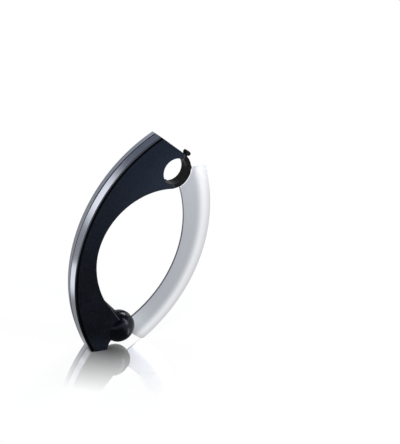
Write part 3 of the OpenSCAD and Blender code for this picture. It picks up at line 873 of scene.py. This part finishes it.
def corner(place, angle, side, radius):
    """Centre of a rounding that touches a straight end and the cutting edge."""
    way = polar(1, angle)
    across = Vector((-way.y, way.x)) * side
    start = place + across * radius - EDGE_C
    back = start.dot(way)
    root = math.sqrt(back * back - start.dot(start) + (EDGE_R - radius) ** 2)
    return EDGE_C + start + way * (root - back)


def heading(centre, place):
    """Direction from a centre to a place, in degrees."""
    return math.degrees(math.atan2(place.y - centre.y, place.x - centre.x))


EYE_R = 9.6  # end of the tang, round the hinge
LOW_A = math.radians(-22.5)  # direction of the lower end
LOW_ROUND = 4.0
TOP_SLOPE = math.radians(13)  # direction of the upper end
TOP_ROUND = 3.6
TOP_Y = 8.6  # start of the upper end, over the ring's centre
top_p = RING + Vector((math.sqrt(RECESS_R**2 - TOP_Y**2), TOP_Y))
top_c = corner(top_p, TOP_SLOPE, -1, TOP_ROUND)
low_c = corner(HUB, LOW_A, 1, LOW_ROUND)
back_low = meeting(HUB, EYE_R, BACK_C, BACK_R, -1)
back_top = meeting(RING, RECESS_R, BACK_C, BACK_R, 1)
print("back meets the eye at", back_low, "and the ring's hollow at", back_top)

# %% [markdown]
# The trim goes round the blade in one walk, from the tang along the lower end, outside the cutting
# edge, back along the upper end, in and out of the hook, and down the hollow and the back.

# %% The blade's trim
HOOK_IN, HOOK_OUT = 18.1, 19.4  # inner and outer side of its finger, round the ring's centre
HOOK_A = 11  # degrees, from the root's upper side to the chord's normal and on to the tip
HOOK_TO = 3  # degrees, to the root's lower side
top_u = heading(EDGE_C, top_c)
low_u = heading(EDGE_C, low_c)
low_t1 = low_c + polar(LOW_ROUND, LOW_A - math.pi / 2)
out_low = EDGE_C + polar(EDGE_R + 6, math.radians(low_u))
moves = [
    tuple(HUB + polar(EYE_R, LOW_A)),
    tuple(low_t1),
    (low_c, low_u - math.degrees(LOW_A) + 90, 16),
    tuple(out_low),
    (EDGE_C, top_u - low_u, 90),
    tuple(top_c + polar(TOP_ROUND, math.radians(top_u))),
    (top_c, 90 + math.degrees(TOP_SLOPE) - top_u, 12),
    tuple(top_p),
    (RING, HOOK_A - heading(RING, top_p), 4),
    tuple(RING + polar(HOOK_IN, math.radians(HOOK_A))),
    (RING, -2 * HOOK_A, 12),
    tuple(RING + polar(HOOK_OUT, math.radians(-HOOK_A))),
    (RING, HOOK_A + HOOK_TO, 8),
    tuple(RING + polar(RECESS_R, math.radians(HOOK_TO))),
    (RING, heading(RING, back_top) - HOOK_TO, 40),
    tuple(back_top),
    (BACK_C, heading(BACK_C, back_low) - heading(BACK_C, back_top), 160),
    tuple(back_low),
    (HUB, math.degrees(LOW_A) - heading(HUB, back_low), 16),
]
crescent = plate("crescent_trim", moves, -4, 4)
print(crescent.name, "has", len(crescent.data.polygons), "faces")

# %% The blade
BLADE_Z = 1.25  # half the blade's thickness
KEEN_Z = 0.2  # half the cutting edge's
BAND_IN = 120  # inside the blade's back
BAND_FROM, BAND_SWEEP = -52, 98  # degrees about the cutting edge's centre
section = [
    (BAND_IN, -BLADE_Z),
    (EDGE_R - BEVEL_W, -BLADE_Z),
    (EDGE_R, -KEEN_Z),
    (EDGE_R, KEEN_Z),
    (EDGE_R - BEVEL_W, BLADE_Z),
    (BAND_IN, BLADE_Z),
]
blade = turned("blade_ground", EDGE_C, section, BAND_FROM, BAND_SWEEP, 392)
cut(blade, crescent, "INTERSECT")
finish(blade, "swinging_blade", ["blade"], blade_steel, 0.12, 30)

# %% [markdown]
# ## The ball hinge
#
# The ball is a little flatter than a sphere and has fuller shoulders. It is two turned halves
# clamped on the blade, and the chamfers along their joint make the fine crease round it.

# %% The two halves of the ball
CREASE = 0.5
WELL_R, WELL_D = 3.1, 2.4  # well of the pivot screw's head
curve = ball_curve(BLADE_Z + CREASE, 0.0, 28)
half = [(0, BLADE_Z), (curve[0][0] - CREASE, BLADE_Z)] + curve[:-1] + [(0, BALL_H)]
front_ball = turned("front_ball_polished", HUB, half, steps=144)
rear_ball = flipped(front_ball, "rear_ball_polished")
well = [(0, -20), (WELL_R, -20), (WELL_R, WELL_D - BALL_H), (0, WELL_D - BALL_H)]
cut(rear_ball, turned("pivot_well", HUB, well, steps=48))
finish(front_ball, "swinging_blade", ["front_ball_half"], ball_black, 0.12, 32)
finish(rear_ball, "swinging_blade", ["rear_ball_half"], ball_black, 0.12, 32)

# %% [markdown]
# ## The ring and its thumb tab
#
# The ring is turned in one piece, with a raised collar on each face that runs in the jaws. A groove
# for the blade's hook goes round part of it. The tab is a rounded bar on a short stem.

# %% The latch ring
EASE = 0.7  # rounding of the rim
CHAMFER = 0.4  # at the mouth of the bore
GROOVE_R, GROOVE_Z = 17.8, 1.55  # bottom and half width of the hook's groove
GROOVE_FROM, GROOVE_SWEEP = -14, 58
round_out = [
    (RING_R - EASE * (1 - math.cos(a)), RING_H - EASE * (1 - math.sin(a)))
    for a in (math.radians(d) for d in (0, 22.5, 45, 67.5, 90))
]
outline = round_out + [
    (COLLAR_R, RING_H),
    (COLLAR_R, RING_H + COLLAR_H),
    (BORE_R + CHAMFER, RING_H + COLLAR_H),
    (BORE_R, RING_H + COLLAR_H - CHAMFER),
]
mirrored = [(r, -h) for r, h in reversed(outline)]
latch = turned("latch_ring_turned", RING, outline + mirrored, steps=144)
groove = [(GROOVE_R, -GROOVE_Z), (25, -GROOVE_Z), (25, GROOVE_Z), (GROOVE_R, GROOVE_Z)]
cut(latch, turned("hook_groove", RING, groove, GROOVE_FROM, GROOVE_SWEEP, GROOVE_SWEEP))
finish(latch, "ring", ["latch_ring"], ring_black, 0.15, 38)

# %% [markdown]
# The thumb tab is a bar with round ends on a short stem. Both are drawn at the ring's right side as
# plates, joined, and then turned round the ring to their place.

# %% The thumb tab
TAB_A = math.radians(62)  # direction of the tab from the ring's centre
TAB_FROM = 24.0  # its distance from that centre
TAB_T, TAB_W, TAB_D = 4.8, 6.8, 8.0
STEM_FROM, STEM_TO, STEM_W, STEM_D = 20.1, 26.5, 4, 6
end = TAB_T / 2
side = TAB_W / 2 - end
bar = plate(
    "thumb_tab_moulded",
    [
        (TAB_FROM, -side),
        ((TAB_FROM + end, -side), 180, 16),
        (TAB_FROM + TAB_T, side),
        ((TAB_FROM + end, side), 180, 16),
    ],
    -TAB_D / 2,
    TAB_D / 2,
)
wide, deep = STEM_W / 2, STEM_D / 2
outline = [(STEM_FROM, -wide), (STEM_TO, -wide), (STEM_TO, wide), (STEM_FROM, wide)]
stem = plate("stem", outline, -deep, deep)
cut(bar, stem, "UNION")
bar.data.transform(Matrix.Translation(RING.to_3d()) @ Matrix.Rotation(TAB_A, 4, "Z"))
finish(bar, "ring", ["thumb_tab"], ring_black, 0.35, 38, 3)

# %% [markdown]
# ## The floor
#
# The knife stands on a plain white floor, which mirrors it near the foot as a gloss laminate does.
# A Mix Shader fades a mirror into the white over an ellipse, so that the mirror picture ends
# softly. To the camera most of the white is light of its own, and further out all of it, so that
# the floor keeps the knife's shadow and still runs into the white background without an edge.

# %% A measure on the floor
bpy.ops.object.select_all(action="DESELECT")
bpy.ops.mesh.primitive_plane_add(size=60, location=(0, 0, 0))
floor = bpy.context.object
floor.name = "studio_floor"
white = Finish("floor_white", (0.9, 0.9, 0.9), 0.6, Specular_IOR_Level=0.0)
x, y, _ = white.parts_of(white.node("ShaderNodeTexCoord", output="Object"))
ACROSS = (0.86, -0.5)  # over the floor, from the left of the picture to its right
NEARER = (-0.5, -0.86)  # and towards its lower edge


def along(direction, start=(0.0, 0.0)):
    """Metres over the floor from a start, measured in a direction."""
    return (x - start[0]) * direction[0] + (y - start[1]) * direction[1]


distance_squared = x * x + y * y  # from the middle of the floor, under the knife
print("floor", floor.name, "is", floor.dimensions.x, "m wide")

# %% White with a mirror near the foot
MIRROR_LONG, MIRROR_WIDE = 0.17, 0.095  # half the ellipse's length and width, in metres
long_way = (along(ACROSS) + 0.03) / MIRROR_LONG
short_way = (along(NEARER) - 0.025) / MIRROR_WIDE
fade = (1 - (long_way * long_way + short_way * short_way).power(0.5)).math("MAXIMUM", 0.0)
own_light = 0.75 + distance_squared.between(0.04, 0.6) * 0.25
body = Value(white, white.surface.outputs[0])
to_camera = white.node("ShaderNodeLightPath", output="Is Camera Ray")
glow = white.node("ShaderNodeEmission", None, {"Color": (1, 1, 1, 1), "Strength": 1.0})
mirror = white.node("ShaderNodeBsdfGlossy", None, {"Color": (1, 1, 1, 1), "Roughness": 0.03})
plain = white.node("ShaderNodeMixShader", None, [to_camera * own_light, body, glow])
laminate = white.node("ShaderNodeMixShader", None, [fade * 0.95, plain, mirror])

# %% [markdown]
# Steel and polished plastic show little of their own and much of what stands round them, so a
# photographer puts grey and white cards there. The floor gives a mirrored ray such a card instead
# of its plain white: half dark behind the knife on the left, with a bright patch in it, dark in
# front of it on the left, and one narrow bright streak to the front right, which lights the right
# side of the ball.

# %% The card that the knife mirrors
behind = y.between(0.0, 0.02) * x.between(0.0, -0.05)
PATCH = (-0.275, 0.13)  # centre of the bright patch
PATCH_LONG, PATCH_WIDE = 0.13, 0.085
long_way = along(ACROSS, PATCH) / PATCH_LONG
short_way = along(NEARER, PATCH) / PATCH_WIDE
patch = 1 - (long_way * long_way + short_way * short_way).between(0.5, 1.3)
close = distance_squared.power(0.5).between(0.34, 0.14)
left_side = (along((0.877, -0.48), (-0.02, -0.02)) + y * 0.6).between(0.03, 0.0)
dark = y.between(0.02, -0.01) * left_side * close
out = along((0.62, -0.78))
beside = (along((0.78, 0.62)) + 0.012).math("ABSOLUTE")
slope = beside / out.math("MAXIMUM", 0.02)
streak = (1 - slope.between(0.04, 0.16)) * out.between(0.02, 0.03) * (1 - out.between(0.05, 0.09))
card = (0.9 - behind * 0.58 + behind * patch * 0.8) * (1 - dark * 0.88) + streak * 3
tone = white.joined(card, card, card)
shown = white.node("ShaderNodeEmission", None, {"Color": tone, "Strength": 1.0})
to_gloss = white.node("ShaderNodeLightPath", output="Is Glossy Ray")
surface = white.node("ShaderNodeMixShader", None, [to_gloss, laminate, shown])
white.put(white.tree.nodes["Material Output"].inputs["Surface"], surface)
floor.data.materials.append(white.material)
print("the floor has", len(white.tree.nodes), "nodes")

# %% [markdown]
# ## The room round the knife
#
# The camera sees plain white behind the knife, and the world lights it with an even pale sky. What
# the knife mirrors is a third thing, a simple room: a dark ceiling, a dim horizon, a half-dark wall
# behind, a dark one in front, and a bright window on the left. Each is one dot product of the ray's
# direction with the direction of that part of the room, and they are multiplied.

# %% The three backgrounds
world = bpy.data.worlds.new("studio")
bpy.context.scene.world = world
world.use_nodes = True
nodes = world.node_tree.nodes
links = world.node_tree.links
ray = nodes.new("ShaderNodeTexCoord").outputs["Generated"]


def background(color, strength, made=None):
    """One colour for the world."""
    made = made or nodes.new("ShaderNodeBackground")
    made.inputs["Color"].default_value = (*color, 1)
    made.inputs["Strength"].default_value = strength
    return made


sky = background((0.95, 0.97, 1.0), 0.55, nodes["Background"])
backdrop = background((1, 1, 1), 1.0)
room = background((1, 1, 1), 1.0)

# %% The room that the knife mirrors
UP = (-0.165, -0.25, 1.0)
ROOM = (  # direction, dot products where it starts and ends, brightness before and after
    (UP, 0.36, 0.5, 1.0, 0.09),  # ceiling
    (UP, 0.0, 0.16, 0.55, 1.0),  # horizon
    ((-0.3, 0.93, 0.2), 0.84, 0.93, 1.0, 0.46),  # wall behind
    ((-0.4, -0.85, 0.32), 0.72, 0.93, 1.0, 0.2),  # wall in front
    ((-0.8, 0.52, 0.28), 0.93, 1.0, 1.0, 1.36),  # window
)


def toward(direction, *limits):
    """A brightness that changes as a ray turns towards a direction."""
    dot = nodes.new("ShaderNodeVectorMath")
    dot.operation = "DOT_PRODUCT"
    dot.inputs[1].default_value = direction
    links.new(ray, dot.inputs[0])
    change = nodes.new("ShaderNodeMapRange")
    change.interpolation_type = "SMOOTHSTEP"
    links.new(dot.outputs["Value"], change.inputs["Value"])
    for socket, value in zip(("From Min", "From Max", "To Min", "To Max"), limits):
        change.inputs[socket].default_value = value
    return change.outputs["Result"]


bright = toward(*ROOM[0])
for part in ROOM[1:]:
    times = nodes.new("ShaderNodeMath")
    times.operation = "MULTIPLY"
    links.new(bright, times.inputs[0])
    links.new(toward(*part), times.inputs[1])
    bright = times.outputs[0]
tint = nodes.new("ShaderNodeMix")
tint.data_type = "RGBA"
tint.clamp_factor = False
tint.inputs[6].default_value = (0.035, 0.05, 0.085, 1)
tint.inputs[7].default_value = (1, 1, 1, 1)
links.new(bright, tint.inputs[0])
links.new(tint.outputs[2], room.inputs["Color"])
print("the room has", len(ROOM), "parts")

# %% Which ray sees which background
rays = nodes.new("ShaderNodeLightPath")
seen = sky
for kind, ground in (("Is Glossy Ray", room), ("Is Camera Ray", backdrop)):
    choice = nodes.new("ShaderNodeMixShader")
    links.new(rays.outputs[kind], choice.inputs[0])
    links.new(seen.outputs[0], choice.inputs[1])
    links.new(ground.outputs[0], choice.inputs[2])
    seen = choice
links.new(seen.outputs[0], nodes["World Output"].inputs["Surface"])
print("the world has", len(nodes), "nodes")

# %% [markdown]
# ## The lamps
#
# Five softboxes stand round the knife. Two are large and light it evenly from the left and from
# above, and they are hidden from mirrored rays. The other three are there mostly for their mirror
# pictures, such as the highlights on the ball.

# %% The softboxes
SOFTBOXES = (  # name, place, aim, width and height in metres, power in watts, mirrored too
    ("key_box", (-0.9, -0.7, 1.3), (0, 0, 0.12), 0.9, 0.9, 9, False),
    ("side_box", (0.86, -1.1, 0.42), (0, 0, 0.12), 0.3, 0.9, 2, True),
    ("slim_box", (0.8, -1.0, 0.75), (0, 0, 0.05), 0.16, 1.5, 5.5, True),
    ("rim_box", (0.95, 0.9, 1.2), (0, 0, 0.05), 0.6, 0.3, 6, True),
    ("top_box", (0.2, 0.5, 1.6), (0, 0, 0.1), 1.0, 1.0, 7, False),
)
for name, place, aim, width, height, power, mirrored_too in SOFTBOXES:
    lamp = bpy.data.lights.new(name, "AREA")
    lamp.shape = "RECTANGLE"
    lamp.size = width
    lamp.size_y = height
    lamp.energy = power
    holder = bpy.data.objects.new(name, lamp)
    bpy.context.scene.collection.objects.link(holder)
    facing = (Vector(aim) - Vector(place)).to_track_quat("-Z", "Y").to_matrix().to_4x4()
    holder.matrix_world = Matrix.Translation(place) @ facing
    holder.visible_glossy = mirrored_too
print(len(SOFTBOXES), "softboxes")

# %% [markdown]
# ## The camera
#
# The camera stands where the photograph was taken from. Its place, its turn and its lens were
# fitted to points of the knife, and its axes are squared up here, because the fitted numbers are
# rounded.

# %% The camera
EYE = Vector((-0.40515, -0.73878, 0.50630))
LENS = 68.4
rightward = Vector((0.85796, -0.49488, 0.13785))
backward = rightward.cross(Vector((0.07466, 0.38561, 0.91964))).normalized()
upward = backward.cross(rightward).normalized()
rightward.normalize()
lens = bpy.data.cameras.new("camera")
lens.sensor_fit = "HORIZONTAL"
lens.sensor_width = 36
lens.lens = LENS
lens.clip_end = 30
camera = bpy.data.objects.new("camera", lens)
bpy.context.scene.collection.objects.link(camera)
turned_axes = Matrix((rightward, upward, backward)).transposed().to_4x4()
camera.matrix_world = Matrix.Translation(EYE) @ turned_axes
bpy.context.scene.camera = camera
bpy.context.scene.view_settings.view_transform = "Standard"
print("the camera stands at", EYE)
